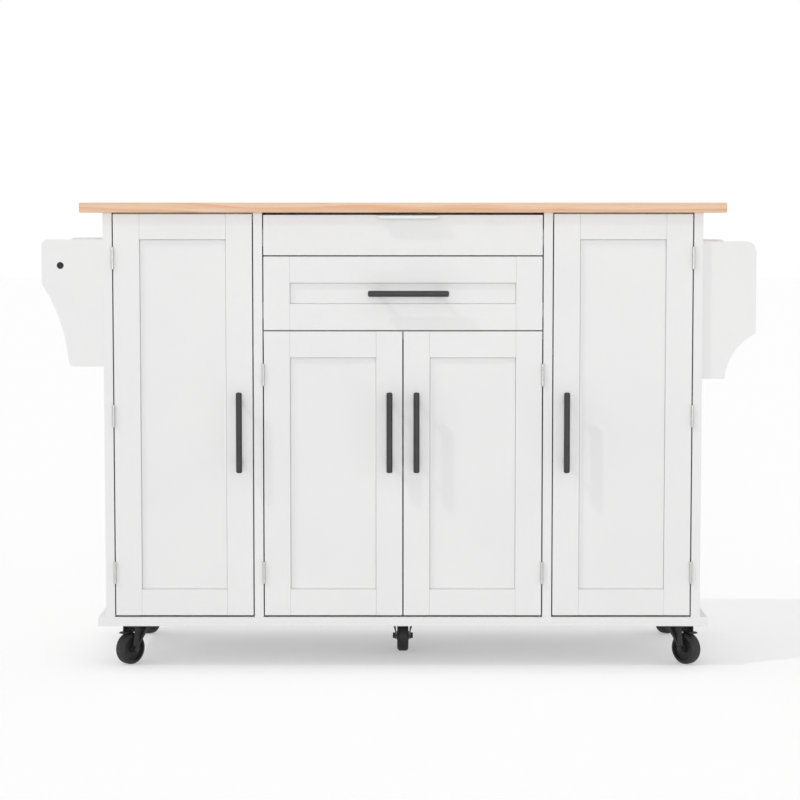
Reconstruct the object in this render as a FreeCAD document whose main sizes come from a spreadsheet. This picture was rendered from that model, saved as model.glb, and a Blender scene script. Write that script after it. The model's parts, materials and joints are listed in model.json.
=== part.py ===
import FreeCAD, Part
import math
import os
import types

import Sketcher

# Rolling kitchen island. Millimetres, floor at z = 0, front towards -Y, centre of the case at x = y = 0.
SIZES = (
    ("worktop_end_overhang", "46"), ("worktop_front_overhang", "11.5"), ("worktop_rear_overhang", "20"),
    ("worktop_thickness", "20"), ("worktop_round", "2"),
    # case boards
    ("case_depth", "450"), ("center_bay", "568"), ("side_bay", "285"), ("board", "18"), ("back_board", "9"),
    ("base_end_overhang", "16.5"), ("base_thickness", "18.5"), ("stretcher_width", "60"),
    ("center_stretcher_setback", "120"),
    ("shelf_thickness", "15"), ("shelf_side_gap", "1"), ("shelf_setback", "28"), ("left_shelf_low", "263"),
    ("left_shelf_high", "533"), ("right_shelf_low", "263"), ("right_shelf_high", "533"),
    ("center_shelf_lift", "293"), ("shelf_pin_radius", "2.5"), ("shelf_pin_reach", "9"),
    ("shelf_pin_hole", "7"), ("shelf_pin_inset", "40"),
    # fronts
    ("reveal", "2.5"), ("bottom_reveal", "4"), ("top_reveal", "4.6"), ("side_top_reveal", "3"),
    ("center_door_height", "579.25"), ("lower_front_height", "148.5"), ("upper_front_height", "81.15"),
    ("front_thickness", "18"), ("stile_width", "53"), ("side_top_rail", "51"), ("groove_depth", "8"),
    ("panel_thickness", "6"), ("panel_recess", "6"), ("panel_line", "1"), ("panel_line_depth", "2"),
    ("joint_gap", "0.4"), ("joint_line", "0.1"), ("stop_gap", "0.6"), ("lip_width", "128"),
    ("lip_foot_width", "112"), ("lip_height", "5.6"), ("lip_drop", "2"), ("lip_projection", "19"),
    ("lip_offset", "10"),
    # handles
    ("handle_length", "163"), ("handle_radius", "6.2"), ("handle_round", "3.5"), ("handle_spacing", "122"),
    ("handle_post_radius", "4.5"), ("handle_projection", "34"), ("handle_lift", "376"),
    ("handle_edge_inset", "26"), ("drawer_handle_offset", "11"),
    # butt hinges and catches
    ("hinge_length", "45"), ("hinge_end_inset", "88"), ("knuckle_radius", "2.9"),
    ("hinge_pin_radius", "1.2"), ("leaf_depth", "14"), ("leaf_gap", "0.2"), ("knuckle_gap", "0.3"),
    ("knuckle_clear", "0.2"), ("catch_length", "46"), ("catch_depth", "15"), ("catch_height", "12"),
    ("catch_inset", "40"),
    # drawers
    ("runner_space", "12.7"), ("runner_back_gap", "42.4"), ("runner_height", "32"), ("channel_depth", "10"),
    ("runner_sheet", "1.2"), ("runner_clear", "0.3"), ("drawer_wall", "12"), ("drawer_bottom", "5"),
    ("drawer_bottom_lift", "8"), ("drawer_back_gap", "38"), ("upper_box_headroom", "10"),
    ("lower_box_headroom", "25"), ("upper_box_lift", "10"), ("lower_box_lift", "14"), ("runner_lift", "9"),
    # towel rack on the left end
    ("rack_inset", "10"), ("rack_board", "15"), ("towel_reach", "125"), ("towel_drop", "54"),
    ("towel_height", "257"), ("towel_step", "167"), ("towel_foot", "73"), ("towel_corner", "12"),
    ("towel_foot_corner", "14"), ("towel_sweep", "330"), ("towel_bar_radius", "7"),
    ("towel_bar_inset", "37.5"), ("towel_bar_drop", "52.5"),
    # spice rack on the right end
    ("spice_reach", "109"), ("spice_drop", "58"), ("spice_height", "278"), ("spice_step", "92"),
    ("spice_foot", "47"), ("spice_corner", "22"), ("spice_sweep", "110"), ("spice_shelf_board", "10"),
    ("spice_upper_level", "100"), ("spice_lower_level", "8"), ("spice_edge", "4"),
    ("spice_rail_width", "22"), ("spice_rail_board", "8"), ("spice_rail_lift", "30"),
    ("spice_rail_pitch", "60"),
    # casters
    ("wheel_headroom", "8.6"), ("caster_inset_front", "69"), ("caster_inset_rear", "51"),
    ("caster_inset_left", "74"), ("caster_inset_right", "52"), ("plate_side", "60"),
    ("plate_thickness", "2.5"), ("plate_corner", "6"), ("race_height", "5"), ("race_radius", "19"),
    ("swivel_gap", "0.4"), ("kingpin_radius", "5"), ("kingpin_head", "9"),
    ("kingpin_head_height", "2.6"), ("running_clear", "0.05"), ("fork_sheet", "2.5"),
    ("fork_crown_half", "20"), ("fork_axle_half", "16.5"), ("fork_lobe", "7.5"), ("trail", "22"),
    ("leg_back", "8"), ("gusset_half", "30"), ("gusset_back", "6"), ("gusset_front", "3"),
    ("gusset_foot", "3.5"), ("gusset_foot_inset", "7"), ("wheel_radius", "32.5"),
    ("wheel_width", "24"), ("wheel_round", "7"), ("wheel_rim", "8"), ("wheel_web", "12"),
    ("hub_radius", "9"), ("hub_side_gap", "0.4"), ("axle_radius", "3"), ("nut_across_corners", "13"),
    ("nut_height", "4.8"), ("brake_pin_radius", "2"), ("brake_pin_forward", "14"), ("brake_pin_lift", "5"),
    ("brake_barrel_radius", "4"), ("brake_width", "14"), ("brake_reach", "33"), ("brake_sheet", "2"),
    ("brake_drop", "1.5"), ("brake_tip_drop", "3.4"), ("brake_tip_sheet", "1.2"),
    ("brake_shoe_reach", "20"), ("brake_shoe_length", "9"), ("brake_shoe_drop", "1.1"),
)
FRONT_CASTER_HEADING = 48.0

doc = FreeCAD.newDocument("rolling_kitchen_island")
sheet = doc.addObject("Spreadsheet::Sheet", "dims")
for row, (alias, number) in enumerate(SIZES, start=1):
    sheet.set(f"A{row}", alias)
    sheet.set(f"B{row}", number)
    sheet.setAlias(f"B{row}", alias)
doc.recompute()


class Size:
    """A length with the sheet formula it comes from, so that sums of sizes stay formulas."""

    def __init__(self, text, value):
        self.text = text
        self.value = value

    def joined(self, sign, other, value):
        return Size(f"({self.text} {sign} {size(other).text})", value)

    def __add__(self, other):
        return self.joined("+", other, self.value + size(other).value)

    def __sub__(self, other):
        return self.joined("-", other, self.value - size(other).value)

    def __mul__(self, other):
        return self.joined("*", other, self.value * size(other).value)

    def __truediv__(self, other):
        return self.joined("/", other, self.value / size(other).value)

    def __neg__(self):
        return size(0) - self

    __radd__ = __add__
    __rmul__ = __mul__


def size(number):
    """The number as a Size; a Size stays as it is."""
    return number if isinstance(number, Size) else Size(repr(number), float(number))


d = types.SimpleNamespace(**{alias: Size(f"dims.{alias}", float(sheet.get(alias))) for alias, _ in SIZES})
nodes = []
X_AXIS = FreeCAD.Rotation(FreeCAD.Vector(0, 1, 0), 90)
Y_AXIS = FreeCAD.Rotation(FreeCAD.Vector(1, 0, 0), -90)
Z_AXIS = FreeCAD.Rotation()
UPENDED = FreeCAD.Rotation(FreeCAD.Vector(1, 0, 0), 90)


def place(piece, corner, rotation=Z_AXIS):
    """Puts the piece's origin at the corner, each coordinate bound to its formula."""
    piece.Placement = FreeCAD.Placement(FreeCAD.Vector(), rotation)
    for axis, length in zip("xyz", corner):
        piece.setExpression(f"Placement.Base.{axis}", size(length).text)
    return piece


def box(name, sides, corner):
    piece = doc.addObject("Part::Box", name)
    for side, length in zip(("Length", "Width", "Height"), sides):
        piece.setExpression(side, size(length).text)
    return place(piece, corner)


def rod(name, radius, length, start, rotation=Z_AXIS):
    piece = doc.addObject("Part::Cylinder", name)
    piece.setExpression("Radius", radius.text)
    piece.setExpression("Height", length.text)
    return place(piece, start, rotation)


def fused(name, pieces):
    piece = doc.addObject("Part::MultiFuse", name)
    piece.Shapes = pieces
    piece.Refine = True
    return piece


def cut(name, base, tools):
    piece = doc.addObject("Part::Cut", name)
    piece.Base = base
    piece.Tool = tools[0] if len(tools) == 1 else fused(f"{name}_tools", tools)
    return piece


def node(name, pieces):
    """Registers a sub-part: one piece, or several separate solids kept together."""
    piece = pieces[0] if len(pieces) == 1 else doc.addObject("Part::Compound", name)
    if len(pieces) > 1:
        piece.Links = pieces
    piece.Label = name
    nodes.append(piece)
    return piece


def arc(start, end, radius, turn):
    """The arc from start to end with the given radius; turn is 1 counterclockwise, -1 clockwise."""
    chord = end - start
    rise = math.sqrt(max(radius ** 2 - (chord.Length / 2) ** 2, 0))
    side = FreeCAD.Vector(-chord.y, chord.x, 0).normalize()
    middle = start + chord / 2 + side * rise * turn
    first, last = (start, end) if turn > 0 else (end, start)
    angles = [math.atan2(p.y - middle.y, p.x - middle.x) for p in (first, last)]
    circle = Part.Circle(middle, FreeCAD.Vector(0, 0, 1), radius)
    return Part.ArcOfCircle(circle, angles[0], angles[1])


def outline(body, name, plane, corners, holes=()):
    """A closed sketch through the corners: (x, y), or (x, y, radius, turn) when an arc leaves the corner."""
    sketch = body.newObject("Sketcher::SketchObject", name)
    role = {"XY": "XY_Plane", "XZ": "XZ_Plane", "YZ": "YZ_Plane"}[plane]
    features = body.Origin.OriginFeatures
    sketch.AttachmentSupport = [(feature, "") for feature in features if feature.Role == role]
    sketch.MapMode = "FlatFace"
    points = [FreeCAD.Vector(size(c[0]).value, size(c[1]).value, 0) for c in corners]
    count = len(corners)
    flipped = []
    for i, corner in enumerate(corners):
        start, end = points[i], points[(i + 1) % count]
        if len(corner) == 2:
            sketch.addGeometry(Part.LineSegment(start, end))
        else:
            sketch.addGeometry(arc(start, end, corner[2].value, corner[3]))
        flipped.append(len(corner) == 4 and corner[3] < 0)
    for i, corner in enumerate(corners):
        before = (i - 1) % count
        here = 2 if flipped[i] else 1
        sketch.addConstraint(Sketcher.Constraint("Coincident", before, 1 if flipped[before] else 2, i, here))
        for kind, axis, length in (("DistanceX", -2, corner[0]), ("DistanceY", -1, corner[1])):
            if size(length).value == 0:
                sketch.addConstraint(Sketcher.Constraint("PointOnObject", i, here, axis))
            else:
                lock = sketch.addConstraint(Sketcher.Constraint(kind, -1, 1, i, here, size(length).value))
                sketch.setExpression(f"Constraints[{lock}]", size(length).text)
        if len(corner) == 4:
            lock = sketch.addConstraint(Sketcher.Constraint("Radius", i, corner[2].value))
            sketch.setExpression(f"Constraints[{lock}]", corner[2].text)
    for x, y, radius in holes:
        middle = FreeCAD.Vector(x.value, y.value, 0)
        ring = sketch.addGeometry(Part.Circle(middle, FreeCAD.Vector(0, 0, 1), radius.value))
        for kind, length in (("DistanceX", x), ("DistanceY", y)):
            lock = sketch.addConstraint(Sketcher.Constraint(kind, -1, 1, ring, 3, length.value))
            sketch.setExpression(f"Constraints[{lock}]", length.text)
        lock = sketch.addConstraint(Sketcher.Constraint("Radius", ring, radius.value))
        sketch.setExpression(f"Constraints[{lock}]", radius.text)
    return sketch


def padded(name, plane, corners, length, holes=()):
    """A body padded from an outline, on both sides of its plane alike."""
    body = doc.addObject("PartDesign::Body", name)
    pad = body.newObject("PartDesign::Pad", f"{name}_pad")
    pad.Profile = outline(body, f"{name}_sketch", plane, corners, holes)
    pad.setExpression("Length", length.text)
    pad.SideType = "Symmetric"
    body.Tip = pad
    return body


def turned(name, plane, corners, axis):
    """A body turned about one of its sketch's axes."""
    body = doc.addObject("PartDesign::Body", name)
    sketch = outline(body, f"{name}_sketch", plane, corners)
    turn = body.newObject("PartDesign::Revolution", f"{name}_turn")
    turn.Profile = sketch
    turn.ReferenceAxis = (sketch, [axis])
    turn.Angle = 360
    body.Tip = turn
    return body


# Levels and planes that several pieces share
case_front = -d.case_depth / 2
case_back = d.case_depth / 2
wheel_top = 2 * d.wheel_radius
kingpin_foot = wheel_top + d.wheel_headroom
crown_bottom = kingpin_foot + d.kingpin_head_height + d.swivel_gap
crown_top = crown_bottom + d.fork_sheet
race_bottom = crown_top + d.swivel_gap
plate_bottom = race_bottom + d.race_height
caster_height = plate_bottom + d.plate_thickness
base_top = caster_height + d.base_thickness
fronts_bottom = base_top + d.bottom_reveal
center_door_top = fronts_bottom + d.center_door_height
lower_front_bottom = center_door_top + d.reveal
upper_front_bottom = lower_front_bottom + d.lower_front_height + d.reveal
fronts_top = upper_front_bottom + d.upper_front_height
case_top = fronts_top + d.top_reveal
side_door_height = case_top - d.side_top_reveal - fronts_bottom
case_height = case_top - base_top
bay_edge = d.center_bay / 2
divider_face = bay_edge + d.board
side_face = divider_face + d.side_bay
case_side = side_face + d.board
base_end = case_side + d.base_end_overhang
side_door_width = d.side_bay - 2 * d.reveal
center_door_width = (d.center_bay - 3 * d.reveal) / 2
fronts_back = case_front + d.front_thickness + d.stop_gap
stretcher_bottom = case_top - d.board
deck_top = center_door_top + d.reveal / 2
deck_bottom = deck_top - d.board
back_face = case_back - d.back_board
UPRIGHTS = {
    "left_side_panel": -case_side, "left_divider": -divider_face,
    "right_divider": bay_edge, "right_side_panel": side_face}
BAYS = {
    "left": (-side_face, d.side_bay, ("left_side_panel", "left_divider")),
    "center": (-bay_edge, d.center_bay, ("left_divider", "right_divider")),
    "right": (divider_face, d.side_bay, ("right_divider", "right_side_panel")),
}

# Worktop: one slab with softened edges
worktop = doc.addObject("PartDesign::Body", "worktop")
half_length = case_side + d.worktop_end_overhang
front_edge = case_front - d.worktop_front_overhang
rear_edge = case_back + d.worktop_rear_overhang
slab = worktop.newObject("PartDesign::Pad", "worktop_slab")
slab.Profile = outline(worktop, "worktop_sketch", "XY", (
    (-half_length, front_edge), (half_length, front_edge),
    (half_length, rear_edge), (-half_length, rear_edge)))
slab.setExpression("Length", d.worktop_thickness.text)
doc.recompute()
soft = worktop.newObject("PartDesign::Fillet", "worktop_soft_edges")
soft.Base = (slab, [])
soft.UseAllEdges = True
soft.setExpression("Radius", d.worktop_round.text)
worktop.Tip = soft
place(worktop, (0, 0, case_top))
node("worktop", [worktop])

# Shelves on pins, and the pin holes of each upright
shelf_back = back_face - d.shelf_side_gap
shelf_front = case_front + d.shelf_setback
shelf_depth = shelf_back - shelf_front
shelves = []
shelf_pins = []
pin_holes = {name: [] for name in UPRIGHTS}
pin_hole_radius = d.shelf_pin_radius + d.running_clear
pin_length = d.shelf_pin_hole - d.joint_gap + d.shelf_pin_reach
SHELVES = (
    ("left_low", "left", d.left_shelf_low), ("left_high", "left", d.left_shelf_high),
    ("center", "center", d.center_shelf_lift),
    ("right_low", "right", d.right_shelf_low), ("right_high", "right", d.right_shelf_high))
for label, bay, lift in SHELVES:
    bay_start, bay_width, bay_uprights = BAYS[bay]
    level = base_top + lift
    shelves.append(box(
        f"shelf_{label}", (bay_width - 2 * d.shelf_side_gap, shelf_depth, d.shelf_thickness),
        (bay_start + d.shelf_side_gap, shelf_front, level)))
    pin_level = level - d.shelf_pin_radius
    for end, pin_y in (("front", shelf_front + d.shelf_pin_inset), ("back", shelf_back - d.shelf_pin_inset)):
        hole_end = bay_start - d.shelf_pin_hole
        bay_end = bay_start + bay_width
        for side, upright, hole_start, pin_start in (
                ("a", bay_uprights[0], hole_end, hole_end + d.joint_gap),
                ("b", bay_uprights[1], bay_end, bay_end - d.shelf_pin_reach)):
            pin_label = f"{label}_{end}_{side}"
            pin_foot = (pin_start, pin_y, pin_level)
            hole_foot = (hole_start, pin_y, pin_level)
            shelf_pins.append(rod(f"pin_{pin_label}", d.shelf_pin_radius, pin_length, pin_foot, X_AXIS))
            pin_holes[upright].append(rod(
                f"hole_{pin_label}", pin_hole_radius, d.shelf_pin_hole, hole_foot, X_AXIS))

# Uprights, base, back boards, stretchers and drawer deck
for name, start in UPRIGHTS.items():
    upright = box(f"{name}_board", (d.board, d.case_depth, case_height), (start, case_front, base_top))
    node(name, [cut(name, upright, pin_holes[name])])
node("base_board", [box(
    "base_board", (2 * base_end, d.case_depth, d.base_thickness), (-base_end, case_front, caster_height))])
node("back_boards", [
    box(f"{bay}_back_board", (width, d.back_board, case_height), (start, back_face, base_top))
    for bay, (start, width, _) in BAYS.items()])
stretchers = []
for bay, (start, width, _) in BAYS.items():
    first_y = fronts_back + d.center_stretcher_setback if bay == "center" else fronts_back
    for end, y in (("front", first_y), ("back", back_face - d.stretcher_width)):
        bar = (width, d.stretcher_width, d.board)
        stretchers.append(box(f"{bay}_{end}_stretcher", bar, (start, y, stretcher_bottom)))
node("top_stretchers", stretchers)
node("drawer_deck", [box(
    "drawer_deck", (d.center_bay, back_face - fronts_back, d.board), (-bay_edge, fronts_back, deck_bottom))])
node("shelves", shelves)
node("shelf_pins", shelf_pins)

# Butt hinges: three knuckles on one pin, the leaves lying in the reveal beside the door
hinge_y = case_front - d.knuckle_radius - d.knuckle_clear
leaf_thickness = (d.reveal - d.leaf_gap) / 2
leaf_start = case_front + d.knuckle_clear
bore_radius = d.hinge_pin_radius + d.running_clear
side_knuckle = d.hinge_length / 4
mid_knuckle = d.hinge_length / 2 - 2 * d.knuckle_gap
frame_leaves = []
hinge_pins = []


def hinge_leaf(name, hinge_x, door_side, level, knuckles):
    """One leaf at a side of the axis, with its knuckles given as (start, length) above the hinge's foot."""
    leaf_x = hinge_x + d.leaf_gap / 2 if door_side > 0 else hinge_x - d.leaf_gap / 2 - leaf_thickness
    plate = (leaf_thickness, d.leaf_depth, d.hinge_length)
    pieces = [box(f"{name}_plate", plate, (leaf_x, leaf_start, level))]
    for i, (start, length) in enumerate(knuckles):
        foot = level + start
        tab = (leaf_thickness, leaf_start - hinge_y, length)
        pieces.append(box(f"{name}_tab{i}", tab, (leaf_x, hinge_y, foot)))
        pieces.append(rod(f"{name}_knuckle{i}", d.knuckle_radius, length, (hinge_x, hinge_y, foot)))
    bore = rod(f"{name}_bore", bore_radius, d.hinge_length, (hinge_x, hinge_y, level))
    return cut(name, fused(f"{name}_solid", pieces), [bore])


def handle(name, x, z, upright, seat_y):
    """A round bar on two posts that stand on the plane at seat_y, the posts hollowed to seat on the bar."""
    end = d.handle_length / 2
    ease = d.handle_radius - d.handle_round
    profile = (
        (0, -end), (ease, -end, d.handle_round, 1), (d.handle_radius, d.handle_round - end),
        (d.handle_radius, end - d.handle_round, d.handle_round, 1), (ease, end), (0, end))
    bar = turned(f"{name}_bar", "XZ", profile, "V_Axis")
    bar_y = case_front - d.handle_projection + d.handle_radius
    along = Z_AXIS if upright else X_AXIS
    place(bar, (x, bar_y, z), along)
    pieces = [bar]
    for side in (-1, 1):
        shift = side * d.handle_spacing / 2
        foot = (x, bar_y, z + shift) if upright else (x + shift, bar_y, z)
        post = rod(f"{name}_post{side}_rod", d.handle_post_radius, seat_y - bar_y, foot, Y_AXIS)
        seat_start = (x, bar_y, z - end) if upright else (x - end, bar_y, z)
        seat = rod(f"{name}_post{side}_seat", d.handle_radius, d.handle_length, seat_start, along)
        pieces.append(cut(f"{name}_post{side}", post, [seat]))
    node(name, pieces)


def framed_front(name, x, z, width, height, top_rail):
    """Two stiles and two rails grooved for a panel with a fine shadow line round it, the rails tongued in."""
    field_y = case_front + d.panel_recess
    groove_y = field_y + d.panel_line_depth
    groove_width = d.panel_thickness - d.panel_line_depth
    tongue = d.groove_depth - d.joint_gap
    inner = width - 2 * d.stile_width
    inner_height = height - d.stile_width - top_rail
    inner_x = x + d.stile_width
    inner_z = z + d.stile_width
    right_x = inner_x + inner
    top_z = inner_z + inner_height
    stile_bar = (d.stile_width, d.front_thickness, height)
    groove = (d.groove_depth, groove_width, height)
    rail_groove = (inner + 2 * d.groove_depth, groove_width, d.groove_depth)
    pieces = []
    for side, start, groove_x in (("left", x, inner_x - d.groove_depth), ("right", right_x, right_x)):
        stile = box(f"{name}_{side}_stile_board", stile_bar, (start, case_front, z))
        slot = box(f"{name}_{side}_stile_groove", groove, (groove_x, groove_y, z))
        pieces.append(cut(f"{name}_{side}_stile", stile, [slot]))
    for side, start, rail_width, groove_z in (
            ("bottom", z, d.stile_width, inner_z - d.groove_depth), ("top", top_z, top_rail, top_z)):
        rail_bar = (inner - 2 * d.joint_line, d.front_thickness, rail_width)
        rail_tongue = (inner + 2 * tongue, groove_width, rail_width)
        rail = fused(f"{name}_{side}_rail_board", [
            box(f"{name}_{side}_rail_bar", rail_bar, (inner_x + d.joint_line, case_front, start)),
            box(f"{name}_{side}_rail_tongue", rail_tongue, (inner_x - tongue, groove_y, start))])
        slot = box(f"{name}_{side}_rail_groove", rail_groove, (inner_x - d.groove_depth, groove_y, groove_z))
        pieces.append(cut(f"{name}_{side}_rail", rail, [slot]))
    node(f"{name}_frame", pieces)
    field = (inner - 2 * d.panel_line, d.panel_line_depth, inner_height - 2 * d.panel_line)
    edge = (inner + 2 * tongue, groove_width, inner_height + 2 * tongue)
    node(f"{name}_panel", [fused(f"{name}_panel", [
        box(f"{name}_panel_field", field, (inner_x + d.panel_line, field_y, inner_z + d.panel_line)),
        box(f"{name}_panel_edge", edge, (inner_x - tongue, groove_y, inner_z - tongue))])])


# Doors, hung on their outer stiles
TALL_HINGE_SHARES = (0, 0.5, 1)
SHORT_HINGE_SHARES = (0, 1)
TALL = (side_door_width, side_door_height, d.side_top_rail, TALL_HINGE_SHARES, stretcher_bottom)
SHORT = (center_door_width, d.center_door_height, d.stile_width, SHORT_HINGE_SHARES, deck_bottom)
DOORS = (
    ("left_door", "left", -side_face + d.reveal, TALL),
    ("center_left_door", "left", -bay_edge + d.reveal, SHORT),
    ("center_right_door", "right", d.reveal / 2, SHORT),
    ("right_door", "right", divider_face + d.reveal, TALL),
)
catches = []
for name, hung_on, x, (width, height, top_rail, hinge_shares, ceiling) in DOORS:
    framed_front(name, x, fronts_bottom, width, height, top_rail)
    if hung_on == "left":
        side = 1
        hinge_x = x - d.reveal / 2
        handle_x = x + width - d.handle_edge_inset
        catch_x = x + width - d.catch_inset - d.catch_length
    else:
        side = -1
        hinge_x = x + width + d.reveal / 2
        handle_x = x + d.handle_edge_inset
        catch_x = x + d.catch_inset
    handle(f"{name}_handle", handle_x, fronts_bottom + d.handle_lift, True, case_front)
    leaves = []
    for i, hinge_share in enumerate(hinge_shares):
        lowest = fronts_bottom + d.hinge_end_inset - d.hinge_length / 2
        level = lowest + (height - 2 * d.hinge_end_inset) * hinge_share
        middle = (side_knuckle + d.knuckle_gap, mid_knuckle)
        outer = ((0, side_knuckle), (d.hinge_length - side_knuckle, side_knuckle))
        leaves.append(hinge_leaf(f"{name}_leaf{i}", hinge_x, side, level, (middle,)))
        frame_leaves.append(hinge_leaf(f"{name}_frame_leaf{i}", hinge_x, -side, level, outer))
        foot = (hinge_x, hinge_y, level)
        hinge_pins.append(rod(f"{name}_pin{i}", d.hinge_pin_radius, d.hinge_length, foot))
    node(f"{name}_hinge_leaves", leaves)
    catches.append(box(
        f"{name}_catch", (d.catch_length, d.catch_depth, d.catch_height),
        (catch_x, fronts_back, ceiling - d.catch_height)))
node("hinge_frame_leaves", frame_leaves)
node("hinge_pins", hinge_pins)
node("door_catches", catches)

# Drawers on side runners
drawer_half = bay_edge - d.runner_space
drawer_inner = 2 * drawer_half - 2 * d.drawer_wall
box_front = case_front + d.front_thickness
drawer_depth = back_face - d.drawer_back_gap - box_front
runner_length = back_face - d.runner_back_gap - fronts_back
upper_box_room = d.upper_front_height + d.top_reveal - d.board
front_width = d.center_bay - 2 * d.reveal
rail_depth = d.runner_space - d.runner_sheet - d.runner_clear
rail_height = d.runner_height - 2 * d.runner_sheet - 2 * d.runner_clear
channels = []
for name, foot, height in (
        ("upper_drawer", upper_front_bottom + d.upper_box_lift,
         upper_box_room - d.upper_box_lift - d.upper_box_headroom),
        ("lower_drawer", lower_front_bottom + d.lower_box_lift,
         d.lower_front_height - d.lower_box_lift - d.lower_box_headroom)):
    groove_x = drawer_half - d.drawer_wall
    bottom_z = foot + d.drawer_bottom_lift
    bottom_top = bottom_z + d.drawer_bottom
    bottom_inset = d.drawer_wall / 2
    walls = []
    rails = []
    side_wall = (d.drawer_wall, drawer_depth, height)
    for side, wall_x, slot_x in (
            ("left", -drawer_half, -drawer_half + bottom_inset), ("right", groove_x, groove_x)):
        wall = box(f"{name}_{side}_wall_board", side_wall, (wall_x, box_front, foot))
        slot_size = (bottom_inset, drawer_depth, d.drawer_bottom)
        slot = box(f"{name}_{side}_wall_groove", slot_size, (slot_x, box_front, bottom_z))
        walls.append(cut(f"{name}_{side}_wall", wall, [slot]))
        runner_z = foot + d.runner_lift
        channel_x = -bay_edge if side == "left" else bay_edge - d.channel_depth
        hollow_x = -bay_edge + d.runner_sheet if side == "left" else bay_edge - d.channel_depth
        channel = box(
            f"{name}_{side}_channel_bar", (d.channel_depth, runner_length, d.runner_height),
            (channel_x, fronts_back, runner_z))
        hollow = box(
            f"{name}_{side}_channel_hollow",
            (d.channel_depth - d.runner_sheet, runner_length, d.runner_height - 2 * d.runner_sheet),
            (hollow_x, fronts_back, runner_z + d.runner_sheet))
        channels.append(cut(f"{name}_{side}_channel", channel, [hollow]))
        rail_x = -drawer_half - rail_depth if side == "left" else drawer_half
        rail_hollow_x = rail_x if side == "left" else drawer_half + d.runner_sheet
        rail_z = runner_z + d.runner_sheet + d.runner_clear
        rail_size = (rail_depth, runner_length, rail_height)
        rail = box(f"{name}_{side}_rail_bar", rail_size, (rail_x, fronts_back, rail_z))
        rail_hollow = box(
            f"{name}_{side}_rail_hollow",
            (rail_depth - d.runner_sheet, runner_length, rail_height - 2 * d.runner_sheet),
            (rail_hollow_x, fronts_back, rail_z + d.runner_sheet))
        rails.append(cut(f"{name}_{side}_rail", rail, [rail_hollow]))
    end_wall = (drawer_inner - 2 * d.joint_line, d.drawer_wall, foot + height - bottom_top)
    for end, y in (("front", box_front), ("back", box_front + drawer_depth - d.drawer_wall)):
        walls.append(box(f"{name}_{end}_wall", end_wall, (d.joint_line - groove_x, y, bottom_top)))
    bottom_half = groove_x + bottom_inset - d.joint_gap
    walls.append(box(
        f"{name}_bottom_board", (2 * bottom_half, drawer_depth, d.drawer_bottom),
        (-bottom_half, box_front, bottom_z)))
    node(f"{name}_box", walls)
    node(f"{name}_runners", rails)
node("runner_channels", channels)
upper_board = box(
    "upper_drawer_board", (front_width, d.front_thickness, d.upper_front_height),
    (-front_width / 2, case_front, upper_front_bottom))
lip = padded("upper_drawer_lip", "XZ", (
    (-d.lip_foot_width / 2, 0), (d.lip_foot_width / 2, 0),
    (d.lip_width / 2, d.lip_height), (-d.lip_width / 2, d.lip_height)), d.lip_projection)
lip_bottom = fronts_top - d.lip_drop - d.lip_height
place(lip, (d.lip_offset, case_front - d.lip_projection / 2, lip_bottom))
node("upper_drawer_front", [upper_board, lip])
framed_front(
    "lower_drawer", -front_width / 2, lower_front_bottom, front_width, d.lower_front_height, d.stile_width)
handle("lower_drawer_handle", d.drawer_handle_offset, lower_front_bottom + d.lower_front_height / 2, False,
       case_front + d.panel_recess)

# Towel rack: two swept brackets and the bar through them
rack_front = case_front + d.rack_inset + d.rack_board / 2
rack_back = case_back - d.rack_inset - d.rack_board / 2
towel_top = case_top - d.towel_drop
towel_bottom = towel_top - d.towel_height
towel_profile = (
    (-case_side, towel_bottom),
    (-case_side, towel_top),
    (-case_side - d.towel_reach + d.towel_corner, towel_top, d.towel_corner, 1),
    (-case_side - d.towel_reach, towel_top - d.towel_corner),
    (-case_side - d.towel_reach, towel_bottom + d.towel_step, d.towel_sweep, -1),
    (-case_side - d.towel_foot, towel_bottom + d.towel_foot_corner, d.towel_foot_corner, 1),
    (-case_side - d.towel_foot + d.towel_foot_corner, towel_bottom),
)
bar_x = -case_side - d.towel_reach + d.towel_bar_inset
bar_z = towel_top - d.towel_bar_drop
bar_hole = (bar_x, bar_z, d.towel_bar_radius + d.running_clear)
for end, y in (("front", rack_front), ("rear", rack_back)):
    bracket = padded(f"towel_bracket_{end}", "XZ", towel_profile, d.rack_board, (bar_hole,))
    node(f"towel_bracket_{end}", [place(bracket, (0, y, 0))])
bar_length = d.case_depth - 2 * d.rack_inset
node("towel_bar", [rod(
    "towel_bar", d.towel_bar_radius, bar_length, (bar_x, case_front + d.rack_inset, bar_z), Y_AXIS)])

# Spice rack: two coved sides, two shelves and three guard rails
spice_top = case_top - d.spice_drop
spice_bottom = spice_top - d.spice_height
spice_profile = (
    (case_side, spice_bottom),
    (case_side + d.spice_foot, spice_bottom, d.spice_sweep, -1),
    (case_side + d.spice_reach, spice_bottom + d.spice_step),
    (case_side + d.spice_reach, spice_top - d.spice_corner, d.spice_corner, 1),
    (case_side + d.spice_reach - d.spice_corner, spice_top),
    (case_side, spice_top),
)
for end, y in (("front", rack_front), ("rear", rack_back)):
    side = padded(f"spice_side_{end}", "XZ", spice_profile, d.rack_board)
    node(f"spice_side_{end}", [place(side, (0, y, 0))])
rack_inner = rack_back - rack_front - d.rack_board
rack_start = rack_front + d.rack_board / 2
upper_shelf = spice_bottom + d.spice_upper_level
lower_shelf = spice_bottom + d.spice_lower_level
node("spice_shelves", [
    box("spice_shelf_lower", (d.spice_foot - d.spice_edge, rack_inner, d.spice_shelf_board),
        (case_side, rack_start, lower_shelf)),
    box("spice_shelf_upper", (d.spice_reach - d.spice_edge, rack_inner, d.spice_shelf_board),
        (case_side, rack_start, upper_shelf))])
guard_size = (d.spice_rail_board, rack_inner, d.spice_rail_width)
lower_rail_x = case_side + d.spice_foot - d.spice_edge - d.spice_rail_board
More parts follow.
